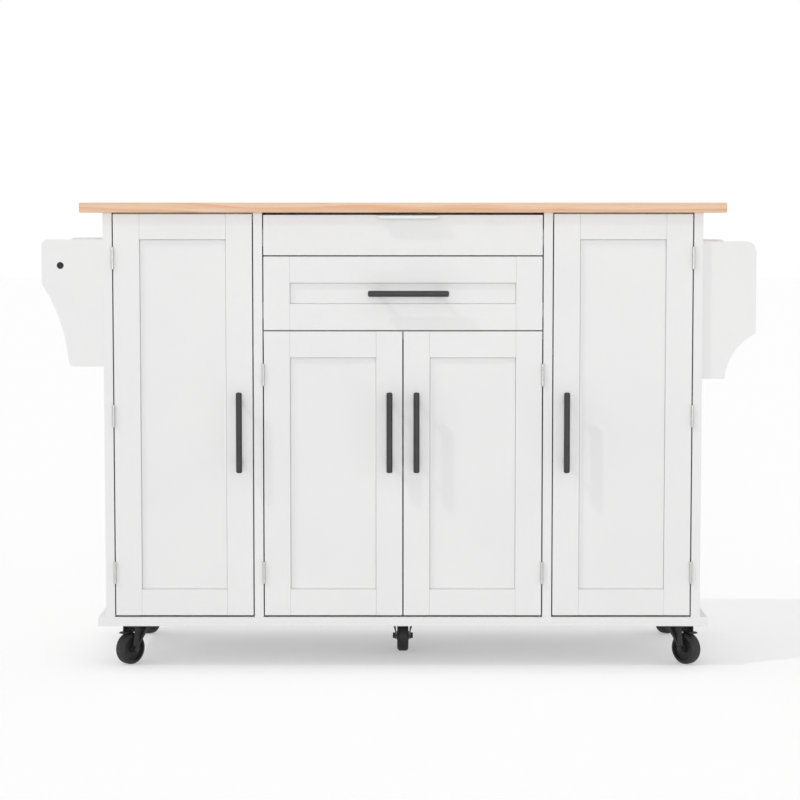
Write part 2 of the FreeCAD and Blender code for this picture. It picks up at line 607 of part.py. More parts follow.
upper_rail_x = case_side + d.spice_reach - d.spice_edge - d.spice_rail_board
lower_rail_z = lower_shelf + d.spice_shelf_board + d.spice_rail_lift / 2
upper_rail_z = upper_shelf + d.spice_shelf_board + d.spice_rail_lift
node("spice_rails", [
    box("spice_rail_lower", guard_size, (lower_rail_x, rack_start, lower_rail_z)),
    box("spice_rail_middle", guard_size, (upper_rail_x, rack_start, upper_rail_z)),
    box("spice_rail_upper", guard_size, (upper_rail_x, rack_start, upper_rail_z + d.spice_rail_pitch))])

# Casters: fixed plate and kingpin, swivelling fork with its axle bolt, wheel, and a brake on the front pair
axle_inner = d.fork_axle_half - d.fork_sheet
brake_pin_z = wheel_top + d.brake_pin_lift
leg_elbow = d.wheel_radius + d.fork_lobe
hub_half = axle_inner - d.hub_side_gap
axle_bore = d.axle_radius + d.running_clear
caster_plates = []


def caster_plate(name, x, y):
    half = d.plate_side / 2
    ease = half - d.plate_corner
    plate = padded(f"{name}_plate_sheet", "XY", (
        (-ease, -half), (ease, -half, d.plate_corner, 1), (half, -ease), (half, ease, d.plate_corner, 1),
        (ease, half), (-ease, half, d.plate_corner, 1), (-half, ease), (-half, -ease, d.plate_corner, 1),
    ), d.plate_thickness)
    place(plate, (x, y, plate_bottom + d.plate_thickness / 2))
    race = rod(f"{name}_race", d.race_radius, d.race_height, (x, y, race_bottom))
    pin = rod(f"{name}_kingpin", d.kingpin_radius, race_bottom - kingpin_foot, (x, y, kingpin_foot))
    head = rod(f"{name}_kingpin_head", d.kingpin_head, d.kingpin_head_height, (x, y, kingpin_foot))
    caster_plates.append(fused(f"{name}_plate", [plate, race, pin, head]))


def caster(name, x, y, heading, braked):
    """Fork, wheel and brake, drawn with the wheel trailing along X and then turned to the heading."""
    turn = FreeCAD.Rotation(FreeCAD.Vector(0, 0, 1), heading)
    spot = (x, y, 0)
    caster_plate(name, x, y)
    top_half = d.fork_crown_half
    inner_top = top_half - d.fork_sheet
    leg_foot = d.wheel_radius - d.fork_lobe
    axle_half = d.fork_axle_half
    leg = ((top_half, crown_bottom), (axle_half, leg_elbow), (axle_half, leg_foot), (axle_inner, leg_foot),
           (axle_inner, leg_elbow), (inner_top, crown_bottom))
    other_leg = tuple((-y, z) for y, z in reversed(leg))
    yoke = padded(
        f"{name}_fork_yoke", "YZ", ((top_half, crown_top),) + leg + other_leg + ((-top_half, crown_top),),
        4 * d.race_radius)
    crown_reach = d.race_radius + d.fork_sheet
    crown_end = crown_reach + d.fork_sheet
    fork_holes = [(d.trail, d.wheel_radius, axle_bore)]
    if braked:
        fork_holes.append((d.brake_pin_forward, brake_pin_z, d.brake_pin_radius))
    side = padded(f"{name}_fork_side", "XZ", (
        (-crown_reach, crown_top), (-crown_reach, crown_bottom), (-d.leg_back, crown_bottom),
        (d.trail - d.fork_lobe, d.wheel_radius, d.fork_lobe, 1), (d.trail, leg_foot, d.fork_lobe, 1),
        (d.trail + d.fork_lobe, d.wheel_radius), (crown_end, crown_bottom), (crown_end, crown_top)),
        4 * d.race_radius, fork_holes)
    blank = doc.addObject("Part::Common", f"{name}_fork_blank")
    blank.Base = yoke
    blank.Tool = side
    bore = rod(
        f"{name}_fork_bore", d.kingpin_radius + d.running_clear, d.fork_sheet, (0, 0, crown_bottom))
    gusset_end = d.trail - d.gusset_foot_inset
    gussets = []
    foot_root = axle_half - d.fork_sheet / 2
    top_root = top_half - d.fork_sheet / 2
    for hand, foot_low, foot_high, top_low, top_high in (
            ("right", foot_root, axle_half, top_root, d.gusset_half),
            ("left", -axle_half, -foot_root, -d.gusset_half, -top_root)):
        gusset = doc.addObject("Part::Wedge", f"{name}_{hand}_gusset")
        for limit, length in (
                ("Xmin", gusset_end - d.gusset_foot), ("Xmax", gusset_end), ("X2min", -d.gusset_back),
                ("X2max", d.gusset_front), ("Ymin", leg_elbow), ("Ymax", crown_top), ("Zmin", foot_low),
                ("Zmax", foot_high), ("Z2min", top_low), ("Z2max", top_high)):
            gusset.setExpression(limit, length.text)
        gussets.append(place(gusset, (0, 0, 0), UPENDED))
    fork = cut(f"{name}_fork_body", fused(f"{name}_fork_shell", [blank] + gussets), [bore])
    bolt_half = d.fork_axle_half + d.nut_height
    shank = rod(
        f"{name}_axle_shank", d.axle_radius, 2 * bolt_half, (d.trail, -bolt_half, d.wheel_radius), Y_AXIS)
    bolt_pieces = [shank]
    for end, y_foot in (("head", -bolt_half), ("nut", d.fork_axle_half)):
        hexagon = doc.addObject("Part::Prism", f"{name}_axle_{end}")
        hexagon.Polygon = 6
        hexagon.setExpression("Circumradius", (d.nut_across_corners / 2).text)
        hexagon.setExpression("Height", d.nut_height.text)
        bolt_pieces.append(place(hexagon, (d.trail, y_foot, d.wheel_radius), Y_AXIS))
    pieces = [fork, fused(f"{name}_axle_bolt", bolt_pieces)]
    if braked:
        pin_start = (d.brake_pin_forward, -top_half, brake_pin_z)
        pieces.append(rod(f"{name}_brake_pin", d.brake_pin_radius, 2 * top_half, pin_start, Y_AXIS))
    place(node(f"{name}_fork", pieces), spot, turn)

    half = d.wheel_width / 2
    rim = d.wheel_radius - d.wheel_rim
    web = d.wheel_web / 2
    shoulder = d.wheel_radius - d.wheel_round
    wheel = turned(f"{name}_wheel", "YZ", (
        (-hub_half, axle_bore), (-hub_half, d.hub_radius), (-web, d.hub_radius), (-web, rim), (-half, rim),
        (-half, shoulder, d.wheel_round, -1), (d.wheel_round - half, d.wheel_radius),
        (half - d.wheel_round, d.wheel_radius, d.wheel_round, -1), (half, shoulder), (half, rim), (web, rim),
        (web, d.hub_radius), (hub_half, d.hub_radius), (hub_half, axle_bore)), "H_Axis")
    cosine, sine = math.cos(math.radians(heading)), math.sin(math.radians(heading))
    node(f"{name}_wheel", [place(wheel, (x + d.trail * cosine, y + d.trail * sine, d.wheel_radius), turn)])
    if braked:
        barrel = d.brake_barrel_radius
        pin_x = d.brake_pin_forward
        shoe_x = pin_x + d.brake_shoe_reach
        tip_x = pin_x + d.brake_reach
        tip_z = brake_pin_z - d.brake_tip_drop
        plate_top = brake_pin_z - d.brake_drop
        plate_z = plate_top - d.brake_sheet
        shoe_z = plate_z - d.brake_shoe_drop
        shoe_end = shoe_x + d.brake_shoe_length
        lever = padded(f"{name}_brake", "XZ", (
            (pin_x, brake_pin_z - barrel), (pin_x + barrel, plate_z), (shoe_x, plate_z), (shoe_x, shoe_z),
            (shoe_end, shoe_z), (shoe_end, plate_z), (tip_x, tip_z - d.brake_tip_sheet), (tip_x, tip_z),
            (shoe_end, plate_top), (pin_x + barrel, plate_top), (pin_x + barrel, brake_pin_z, barrel, 1),
            (pin_x, brake_pin_z + barrel, barrel, 1), (pin_x - barrel, brake_pin_z, barrel, 1),
        ), d.brake_width, ((pin_x, brake_pin_z, d.brake_pin_radius + d.running_clear),))
        node(f"{name}_brake", [place(lever, spot, turn)])


left_x = d.caster_inset_left - base_end
right_x = base_end - d.caster_inset_right
front_y = case_front + d.caster_inset_front
rear_y = case_back - d.caster_inset_rear
caster("front_left_caster", left_x, front_y, 180 + FRONT_CASTER_HEADING, True)
caster("front_right_caster", right_x, front_y, -FRONT_CASTER_HEADING, True)
caster("rear_left_caster", left_x, rear_y, 180 - FRONT_CASTER_HEADING, False)
caster("rear_right_caster", right_x, rear_y, FRONT_CASTER_HEADING, False)
caster("middle_caster", size(0), size(0), -90, False)
node("caster_plates", caster_plates)

doc.recompute()
for piece in doc.Objects:
    if "Invalid" in piece.State or "Error" in piece.State:
        raise RuntimeError(f"{piece.Label} did not build")
os.makedirs("parts", exist_ok=True)
for piece in nodes:
    if piece.Shape.isNull() or not piece.Shape.isValid():
        raise RuntimeError(f"{piece.Label} has no valid shape")
    piece.Shape.exportStep(f"parts/{piece.Label}.step")
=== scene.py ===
import json
import math

import bmesh
import bpy
from mathutils import Matrix, Vector


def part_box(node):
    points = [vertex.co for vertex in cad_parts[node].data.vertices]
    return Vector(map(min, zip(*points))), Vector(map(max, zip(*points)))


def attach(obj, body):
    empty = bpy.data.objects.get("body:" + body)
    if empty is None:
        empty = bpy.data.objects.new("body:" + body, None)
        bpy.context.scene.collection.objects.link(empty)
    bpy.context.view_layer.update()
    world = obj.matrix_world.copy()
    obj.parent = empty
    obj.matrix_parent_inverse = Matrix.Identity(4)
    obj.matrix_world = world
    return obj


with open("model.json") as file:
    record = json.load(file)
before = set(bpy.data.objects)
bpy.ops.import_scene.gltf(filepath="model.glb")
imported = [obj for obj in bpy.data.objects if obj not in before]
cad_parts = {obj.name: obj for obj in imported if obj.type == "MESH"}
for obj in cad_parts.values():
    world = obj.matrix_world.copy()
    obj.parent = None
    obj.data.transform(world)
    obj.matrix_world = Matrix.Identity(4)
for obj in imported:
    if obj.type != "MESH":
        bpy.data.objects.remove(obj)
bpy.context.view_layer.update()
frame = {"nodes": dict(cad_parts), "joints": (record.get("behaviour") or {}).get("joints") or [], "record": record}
nodes = frame["nodes"]
joints = {joint["name"]: joint for joint in frame["joints"]}

MM = 0.001
DOWN, BACK = (0, 0, -1), (0, 1, 0)

DOORS = ("left_door", "center_left_door", "center_right_door", "right_door")
DRAWERS = ("upper_drawer", "lower_drawer")
FRAMED_FRONTS = DOORS + ("lower_drawer",)
CASTERS = ("front_left", "front_right", "rear_left", "rear_right", "middle")
UPRIGHTS = ("left_side_panel", "left_divider", "right_divider", "right_side_panel")

# The radius that sanding and paint leave on the edges of each group of boards
SOFT_EDGES = (
    (1.0 * MM, [f"{front}_frame" for front in FRAMED_FRONTS]),
    (0.25 * MM, [f"{front}_panel" for front in FRAMED_FRONTS]),
    (0.8 * MM, UPRIGHTS + ("base_board", "upper_drawer_front")),
    (1.0 * MM, ("towel_bracket_front", "towel_bracket_rear", "spice_side_front", "spice_side_rear",
                "spice_shelves", "spice_rails", "shelves", "upper_drawer_box", "lower_drawer_box")),
    (0.6 * MM, ("top_stretchers", "drawer_deck", "back_boards", "door_catches")),
)
SOFT_EDGE_SEGMENTS = 2
SHARP_ANGLE = math.radians(40)
SAME_POINT = 0.01 * MM

# Screw heads: radius and height
CASTER_SCREW = (3.6 * MM, 1.8 * MM)
HANDLE_SCREW = (4.2 * MM, 2.2 * MM)
HINGE_SCREW = (2.3 * MM, 0.08 * MM)
RUNNER_SCREW = (3.2 * MM, 1.4 * MM)
BACK_SCREW = (3.2 * MM, 1.2 * MM)
WORKTOP_SCREW = (4.0 * MM, 1.6 * MM)

# Plates: width, thickness and height
STRIKE_SIZE = Vector((38, 0.35, 9)) * MM
POLE_SIZE = Vector((34, 0.12, 2)) * MM
CLIPPED_CORNER = 0.18

# Where the hardware sits on the solids
CASTER_PLATE = 2.5 * MM
CASTER_SCREW_OFFSET = 23 * MM
HANDLE_SPACING = 122 * MM
HINGE_LENGTH = 45 * MM
HINGE_INSET = 88 * MM
LEAF_GAP = 0.2 * MM
LEAF_SCREWS = ((5 * MM, 8 * MM), (10.5 * MM, 22.5 * MM), (5 * MM, 37 * MM))
CATCH_INSET = 63 * MM
CATCH_DROP = 6 * MM
POLE_LIFTS = (-3.4 * MM, 1.4 * MM)
DRAWER_BOX_BOARD = 12 * MM
RAIL_WIDTH = 10 * MM
CHANNEL_SHEET = 1.2 * MM
STRETCHER_WIDTH = 60 * MM
CENTER_STRETCHER_SETBACK = 120 * MM
THREE_ALONG = (0.1, 0.5, 0.9)
TWO_ALONG = (0.15, 0.85)

# Noise seldom leaves this range
NOISE_LOW, NOISE_HIGH = 0.3, 0.7
# A Mix node's sockets for colours, which share their names with those for numbers
MIX_FACTOR, MIX_BASE, MIX_OVER, MIX_COLOUR = 0, 6, 7, 2


# Shader nodes
def add(tree, kind, inputs=(), **settings):
    """Adds a node, sets its properties, and feeds its inputs with values or with other nodes' outputs."""
    made = tree.nodes.new(kind)
    for key, value in settings.items():
        setattr(made, key, value)
    for socket, value in dict(inputs).items():
        if isinstance(value, bpy.types.NodeSocket):
            tree.links.new(value, made.inputs[socket])
        else:
            made.inputs[socket].default_value = value
    return made


def new_material(name, **surface):
    """A material with its shader's constant values set; returns the material, its tree and its shader."""
    material = bpy.data.materials.new(name)
    material.use_nodes = True
    tree = material.node_tree
    shader = tree.nodes["Principled BSDF"]
    for socket, value in surface.items():
        shader.inputs[socket.replace("_", " ")].default_value = value
    return material, tree, shader


def feed(tree, shader, **sockets):
    """Links outputs to the shader's sockets of these names."""
    for socket, output in sockets.items():
        tree.links.new(output, shader.inputs[socket.replace("_", " ")])


def grey(level):
    return (level, level, level, 1.0)


def own_place(tree):
    """The piece's own coordinates, in metres."""
    return add(tree, "ShaderNodeTexCoord").outputs["Object"]


def scaled(tree, vector, scale):
    return add(tree, "ShaderNodeMapping", {"Vector": vector, "Scale": scale}).outputs["Vector"]


def vector_math(tree, operation, first, second):
    return add(tree, "ShaderNodeVectorMath", {0: first, 1: second}, operation=operation).outputs["Vector"]


def number_math(tree, operation, *values):
    return add(tree, "ShaderNodeMath", dict(enumerate(values)), operation=operation).outputs["Value"]


def noise(tree, vector, scale=1.0, detail=2.0, roughness=0.5):
    return add(tree, "ShaderNodeTexNoise", {
        "Vector": vector, "Scale": scale, "Detail": detail, "Roughness": roughness}).outputs["Fac"]


def ramp(tree, factor, stops):
    """A colour ramp through (position, grey or colour) stops."""
    made = add(tree, "ShaderNodeValToRGB", {"Fac": factor})
    elements = made.color_ramp.elements
    while len(elements) < len(stops):
        elements.new(0.5)
    for element, (position, colour) in zip(elements, stops):
        element.position = position
        element.color = (*colour, 1.0) if isinstance(colour, tuple) else grey(colour)
    return made.outputs["Color"]


def shades(tree, factor, dark, light):
    """A colour from dark to light over the factor's middle range."""
    return ramp(tree, factor, ((NOISE_LOW, dark), (NOISE_HIGH, light)))


def spread(tree, factor, low, high):
    """A number from low to high over the factor's middle range."""
    return add(tree, "ShaderNodeMapRange", {
        "Value": factor, "From Min": NOISE_LOW, "From Max": NOISE_HIGH, "To Min": low, "To Max": high,
    }).outputs["Result"]


def mix(tree, factor, base, over, blend_type="MIX"):
    made = add(tree, "ShaderNodeMix", {MIX_FACTOR: factor, MIX_BASE: base, MIX_OVER: over},
               data_type="RGBA", blend_type=blend_type)
    return made.outputs[MIX_COLOUR]


def bump(tree, shader, height, strength, distance):
    made = add(tree, "ShaderNodeBump", {"Height": height, "Strength": strength, "Distance": distance})
    tree.links.new(made.outputs["Normal"], shader.inputs["Normal"])


# Materials
def white_paint():
    """Satin lacquer on board: nearly even white, with the faint ripple that a spray gun leaves."""
    material, tree, shader = new_material("white_paint", Specular_IOR_Level=0.4)
    place = own_place(tree)
    cloud = noise(tree, place, scale=5.0, detail=3.0)
    feed(tree, shader,
         Base_Color=shades(tree, cloud, dark=(0.835, 0.836, 0.834), light=(0.858, 0.858, 0.855)),
         Roughness=spread(tree, noise(tree, place, scale=60.0), low=0.40, high=0.50))
    bump(tree, shader, noise(tree, place, scale=1400.0, detail=1.0), strength=0.06, distance=0.0002)
    return material


def worktop_wood():
    """Edge-glued staves of pale wood under clear lacquer, the grain along X and end grain at both ends."""
    stave_width, stave_length, glue_line = 0.07, 4.0, 0.0004
    pore_brown, glue_brown = (0.50, 0.30, 0.18, 1.0), (0.45, 0.28, 0.17, 1.0)
    material, tree, shader = new_material("worktop_wood", Specular_IOR_Level=0.42)
    place = own_place(tree)
    staves = add(tree, "ShaderNodeTexBrick", {
        "Vector": vector_math(tree, "ADD", place, (stave_length / 2, 0.0, 0.0)), "Scale": 1.0,
        "Brick Width": stave_length, "Row Height": stave_width,
        "Mortar Size": glue_line, "Mortar Smooth": 0.3,
        "Color1": grey(0.0), "Color2": grey(1.0), "Mortar": grey(0.5)}, offset=0.0)
    tint = staves.outputs["Color"]
    # Each stave is cut from another place in the trunk
    moved = vector_math(tree, "ADD", place, vector_math(tree, "MULTIPLY", tint, (7.0, 0.0, 3.0)))

    def stretched(along, across):
        return scaled(tree, moved, (along, across, across))

    wander = noise(tree, stretched(1.3, 6.0))
    rings = add(tree, "ShaderNodeTexWave", {
        "Vector": vector_math(tree, "ADD", stretched(0.9, 34.0), wander), "Scale": 1.1, "Distortion": 5.0,
        "Detail": 2.0, "Detail Scale": 0.8, "Detail Roughness": 0.55,
    }, wave_type="BANDS", bands_direction="DIAGONAL", wave_profile="SAW").outputs["Fac"]
    fibres = noise(tree, stretched(5.0, 190.0), scale=1.6, detail=5.0, roughness=0.65)
    pores = noise(tree, stretched(30.0, 620.0), detail=1.0)
    drift = noise(tree, stretched(1.1, 9.0))
    end_fibres = noise(tree, stretched(1.0, 420.0), detail=4.0, roughness=0.7)

    growth = ramp(tree, rings, (
        (0.0, (0.830, 0.585, 0.400)), (0.55, (0.805, 0.535, 0.345)), (0.86, (0.750, 0.440, 0.255)),
        (1.0, (0.820, 0.565, 0.375))))
    streaks = ramp(tree, fibres, ((0.30, (0.89, 0.82, 0.76)), (0.52, 1.0), (0.72, (1.03, 1.06, 1.09))))
    stave_tone = ramp(tree, tint, (
        (0.0, (0.955, 0.945, 0.925)), (0.5, (1.0, 0.99, 0.985)), (1.0, (1.035, 1.03, 1.03))))
    cast = shades(tree, drift, dark=(1.0, 0.985, 0.95), light=(1.0, 1.0, 1.03))
    end_grain = shades(tree, end_fibres, dark=(0.56, 0.35, 0.21), light=(0.76, 0.51, 0.33))
    facing = add(tree, "ShaderNodeTexCoord").outputs["Normal"]
    along_x = add(tree, "ShaderNodeSeparateXYZ", {"Vector": facing}).outputs["X"]
    at_ends = ramp(tree, number_math(tree, "ABSOLUTE", along_x), ((0.70, 0.0), (0.85, 0.85)))

    colour = mix(tree, 0.85, growth, streaks, "MULTIPLY")
    colour = mix(tree, 1.0, colour, stave_tone, "MULTIPLY")
    colour = mix(tree, 1.0, colour, cast, "MULTIPLY")
    colour = mix(tree, ramp(tree, pores, ((0.62, 0.0), (0.76, 0.30))), colour, pore_brown)
    colour = mix(tree, ramp(tree, staves.outputs["Fac"], ((0.0, 0.0), (1.0, 0.50))), colour, glue_brown)
    colour = mix(tree, at_ends, colour, end_grain)
    feed(tree, shader, Base_Color=colour, Roughness=spread(tree, fibres, low=0.36, high=0.50))
    bump(tree, shader, fibres, strength=0.08, distance=0.0003)
    return material


def drawer_board():
    """White melamine-faced board with a very fine pearl grain along Y."""
    material, tree, shader = new_material("drawer_board", Specular_IOR_Level=0.4)
    grain = noise(tree, scaled(tree, own_place(tree), (1.0, 0.25, 1.0)), scale=420.0, detail=3.0)
    feed(tree, shader,
         Base_Color=shades(tree, grain, dark=(0.755, 0.750, 0.735), light=(0.800, 0.797, 0.785)),
         Roughness=spread(tree, grain, low=0.46, high=0.56))
    bump(tree, shader, grain, strength=0.05, distance=0.0002)
    return material


def black_coat(name, dark, light, roughness, grain_scale, relief, gloss=0.45):
    """A black finish, slightly blue, with a fine moulded or sprayed texture."""
    blue = 1.03
    material, tree, shader = new_material(name, Specular_IOR_Level=gloss)
    place = own_place(tree)
    cloud = noise(tree, place, scale=45.0, detail=3.0)
    feed(tree, shader,
         Base_Color=shades(tree, cloud, (dark, dark, dark * blue), (light, light, light * blue)),
         Roughness=spread(tree, noise(tree, place, scale=160.0), roughness - 0.05, roughness + 0.07))
    bump(tree, shader, noise(tree, place, scale=grain_scale), relief, distance=0.00015)
    return material


def brushed_steel():
    """Plated steel with fine brush lines along Z."""
    material, tree, shader = new_material("hinge_steel", Metallic=1.0)
    lines = noise(tree, scaled(tree, own_place(tree), (900.0, 900.0, 60.0)), detail=3.0, roughness=0.6)
    bright = (0.62, 0.61, 0.60)
    dim = tuple(part * 0.86 for part in bright)
    feed(tree, shader,
         Base_Color=shades(tree, lines, dim, bright),
         Roughness=spread(tree, lines, low=0.22, high=0.36))
    bump(tree, shader, lines, strength=0.05, distance=0.0001)
    return material


def zinc_plate():
    """Zinc-plated sheet with a soft spangle."""
    material, tree, shader = new_material("runner_steel", Metallic=1.0)
    cells = add(tree, "ShaderNodeTexVoronoi", {"Vector": own_place(tree), "Scale": 260.0}).outputs["Color"]
    spangle = add(tree, "ShaderNodeRGBToBW", {"Color": cells}).outputs["Val"]
    feed(tree, shader,
         Base_Color=ramp(tree, spangle, ((0.2, (0.52, 0.53, 0.55)), (0.8, (0.66, 0.67, 0.69)))),
         Roughness=spread(tree, spangle, low=0.34, high=0.46))
    return material


def white_plastic():
    """Moulded white plastic, faintly clouded."""
    material, tree, shader = new_material("catch_plastic", Specular_IOR_Level=0.5)
    cloud = noise(tree, own_place(tree), scale=90.0)
    feed(tree, shader,
         Base_Color=shades(tree, cloud, dark=(0.76, 0.76, 0.74), light=(0.80, 0.80, 0.78)),
         Roughness=spread(tree, cloud, low=0.34, high=0.42))
    return material


materials = {
    "white_paint": white_paint(),
    "worktop_wood": worktop_wood(),
    "drawer_wood": drawer_board(),
    "black_metal": black_coat(
        "black_metal", dark=0.030, light=0.040, roughness=0.46, grain_scale=2600.0, relief=0.12),
    "hinge_steel": brushed_steel(),
    "runner_steel": zinc_plate(),
    "catch_plastic": white_plastic(),
    "caster_metal": black_coat(
        "caster_metal", dark=0.018, light=0.026, roughness=0.36, grain_scale=1800.0, relief=0.05),
    "caster_tread": black_coat(
        "caster_tread", dark=0.014, light=0.022, roughness=0.58, grain_scale=1200.0, relief=0.10),
    "brake_plastic": black_coat(
        "brake_plastic", dark=0.016, light=0.022, roughness=0.44, grain_scale=1500.0, relief=0.08),
}
for part in frame["record"]["subparts"]:
    piece = nodes[part["node"]]
    piece.data.materials.clear()
    piece.data.materials.append(materials[part["material_slot"]])
# The towel bar's coat is blacker and duller than that of the handles
nodes["towel_bar"].data.materials[0] = black_coat(
    "towel_bar_coat", dark=0.012, light=0.017, roughness=0.52, grain_scale=2600.0, relief=0.12, gloss=0.3)


def soften(node, width):
    """Rounds a node's sharp edges by modifiers, its own mesh left as it is."""
    weld = nodes[node].modifiers.new("one_skin", "WELD")
    weld.merge_threshold = SAME_POINT
    edge = nodes[node].modifiers.new("soft_edges", "BEVEL")
    edge.width = width
    edge.segments = SOFT_EDGE_SEGMENTS
    edge.limit_method = "ANGLE"
    edge.angle_limit = SHARP_ANGLE


for edge_radius, boards in SOFT_EDGES:
    for board in boards:
        soften(board, edge_radius)


# Small hardware, too fine for the solids: screw heads, strike plates and the catches' pole plates
def screw_head(radius, height):
    """Points and faces of a cross-head screw's head that stands on z = 0."""
    quarters, steps = 4, 6
    turns = quarters * steps
    rings = ((radius, 0.0), (radius, 0.4 * height), (0.72 * radius, height))
    arm, half_width, depth = 0.50 * radius, 0.13 * radius, 0.7 * height
    corners = ((arm, -half_width), (arm, half_width), (half_width, half_width))
    points = []
    for ring_radius, level in rings:
        for i in range(turns):
            angle = math.tau * i / turns
            points.append((ring_radius * math.cos(angle), ring_radius * math.sin(angle), level))
    faces = [tuple(range(turns))]
    for ring in (0, turns):
        for i in range(turns):
            j = (i + 1) % turns
            faces.append((ring + i, ring + j, ring + turns + j, ring + turns + i))

    # The cross: its outline in the top face, and its floor below
    top, cross = 2 * turns, 3 * turns
    for level in (height, height - depth):
        for quarter in range(quarters):
            turn = Matrix.Rotation(quarter * math.tau / quarters, 2)
            points.extend((*(turn @ Vector(corner)), level) for corner in corners)
    for quarter in range(quarters):
        tip, side, inner = (cross + len(corners) * quarter + k for k in range(len(corners)))
        next_tip = cross + len(corners) * ((quarter + 1) % quarters)
        rim = [top + (quarter * steps + k) % turns for k in range(-1, steps)]
        faces.append((tip, rim[0], rim[1], rim[2], side))
        faces.append((side, rim[2], rim[3], rim[4], inner))
        faces.append((inner, rim[4], rim[5], rim[6], next_tip))
    count = quarters * len(corners)
    floor = cross + count
    for i in range(count):
        j = (i + 1) % count
        faces.append((cross + i, cross + j, floor + j, floor + i))
    faces.append(tuple(range(floor, floor + count)))
    return points, faces


def plate(sides, corner):
    """Points and faces of a flat plate with clipped corners, its broad faces across Y."""
    width, thickness, height = sides
    clip = CLIPPED_CORNER * min(width, height)
    outline = ((clip, 0), (width - clip, 0), (width, clip), (width, height - clip),
               (width - clip, height), (clip, height), (0, height - clip), (0, clip))
    points = [Vector(corner) + Vector((x, y, z)) for y in (0, thickness) for x, z in outline]
    count = len(outline)
    faces = [tuple(range(count)), tuple(reversed(range(count, 2 * count)))]
    faces.extend((i, count + i, count + (i + 1) % count, (i + 1) % count) for i in range(count))
    return points, faces


def add_piece(name, shapes, body, slot):
    """Makes one piece of several shapes, lets it ride on the body, and gives it the slot's material."""
    points, faces = [], []
    for shape_points, shape_faces in shapes:
        faces.extend(tuple(len(points) + i for i in face) for face in shape_faces)
        points.extend(shape_points)
    mesh = bpy.data.meshes.new(name)
    mesh.from_pydata(points, [], faces)
    skin = bmesh.new()
    skin.from_mesh(mesh)
    bmesh.ops.recalc_face_normals(skin, faces=skin.faces)
    skin.to_mesh(mesh)
    skin.free()
    mesh.materials.append(materials[slot])
    piece = bpy.data.objects.new(name, mesh)
    bpy.context.scene.collection.objects.link(piece)
    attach(piece, body)


def add_screws(name, body, slot, spots, facing, size):
    """Screw heads at the spots, all facing one way."""
    points, faces = screw_head(*size)
    turn = Vector(facing).to_track_quat("Z", "Y").to_matrix()
    shapes = [([Vector(spot) + turn @ Vector(point) for point in points], faces) for spot in spots]
    add_piece(name, shapes, body, slot)


def middle(node):
    """The middle of a node's box."""
    low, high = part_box(node)
    return (low + high) / 2


def add_caster_screws():
    """Four screws in each caster's plate."""
    plate_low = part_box("base_board")[0].z - CASTER_PLATE
    offsets = (-CASTER_SCREW_OFFSET, CASTER_SCREW_OFFSET)
    spots = []
    for caster in CASTERS:
        x, y, _ = joints[f"{caster}_swivel"]["pos_m"]
        spots.extend((x + dx, y + dy, plate_low) for dx in offsets for dy in offsets)
    add_screws("caster_plate_screws", "cabinet", "runner_steel", spots, DOWN, CASTER_SCREW)


def add_door_hardware():
    """The screws of the doors' handles and hinges, the strike plates, and the pole plates that they meet."""
    catch_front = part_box("door_catches")[0].y
    frame_leaf_spots = {1: [], -1: []}
    pole_plates = []
    for door in DOORS:
        in_center = "center" in door
        low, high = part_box(f"{door}_frame")
        handle = middle(f"{door}_handle")
        add_screws(f"{door}_handle_screws", door, "hinge_steel",
                   [(handle.x, high.y, handle.z + end * HANDLE_SPACING / 2) for end in (-1, 1)],
                   BACK, HANDLE_SCREW)

        hinge_x = joints[f"{door}_hinge"]["pos_m"][0]
        side = 1 if hinge_x < handle.x else -1
        first = low.z + HINGE_INSET - HINGE_LENGTH / 2
        travel = high.z - low.z - 2 * HINGE_INSET
        leaf_spots = [(low.y + inset, first + travel * level + lift)
                      for level in ((0, 1) if in_center else (0, 0.5, 1)) for inset, lift in LEAF_SCREWS]
        add_screws(f"{door}_hinge_screws", door, "hinge_steel",
                   [(hinge_x + side * LEAF_GAP / 2, y, z) for y, z in leaf_spots], (-side, 0, 0), HINGE_SCREW)
        frame_leaf_spots[side].extend((hinge_x - side * LEAF_GAP / 2, y, z) for y, z in leaf_spots)

        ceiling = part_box("drawer_deck" if in_center else "top_stretchers")[0].z
        catch_x = high.x - CATCH_INSET if side > 0 else low.x + CATCH_INSET
        catch_z = ceiling - CATCH_DROP
        strike_corner = (catch_x - STRIKE_SIZE.x / 2, high.y, catch_z - STRIKE_SIZE.z / 2)
        add_piece(f"{door}_strike_plate", [plate(STRIKE_SIZE, strike_corner)], door, "hinge_steel")
        for lift in POLE_LIFTS:
            pole_corner = (catch_x - POLE_SIZE.x / 2, catch_front - POLE_SIZE.y, catch_z + lift)
            pole_plates.append(plate(POLE_SIZE, pole_corner))
    for side, label in ((1, "left"), (-1, "right")):
        add_screws(f"{label}_hinge_frame_screws", "cabinet", "hinge_steel", frame_leaf_spots[side],
                   (side, 0, 0), HINGE_SCREW)
    add_piece("catch_pole_plates", pole_plates, "cabinet", "hinge_steel")


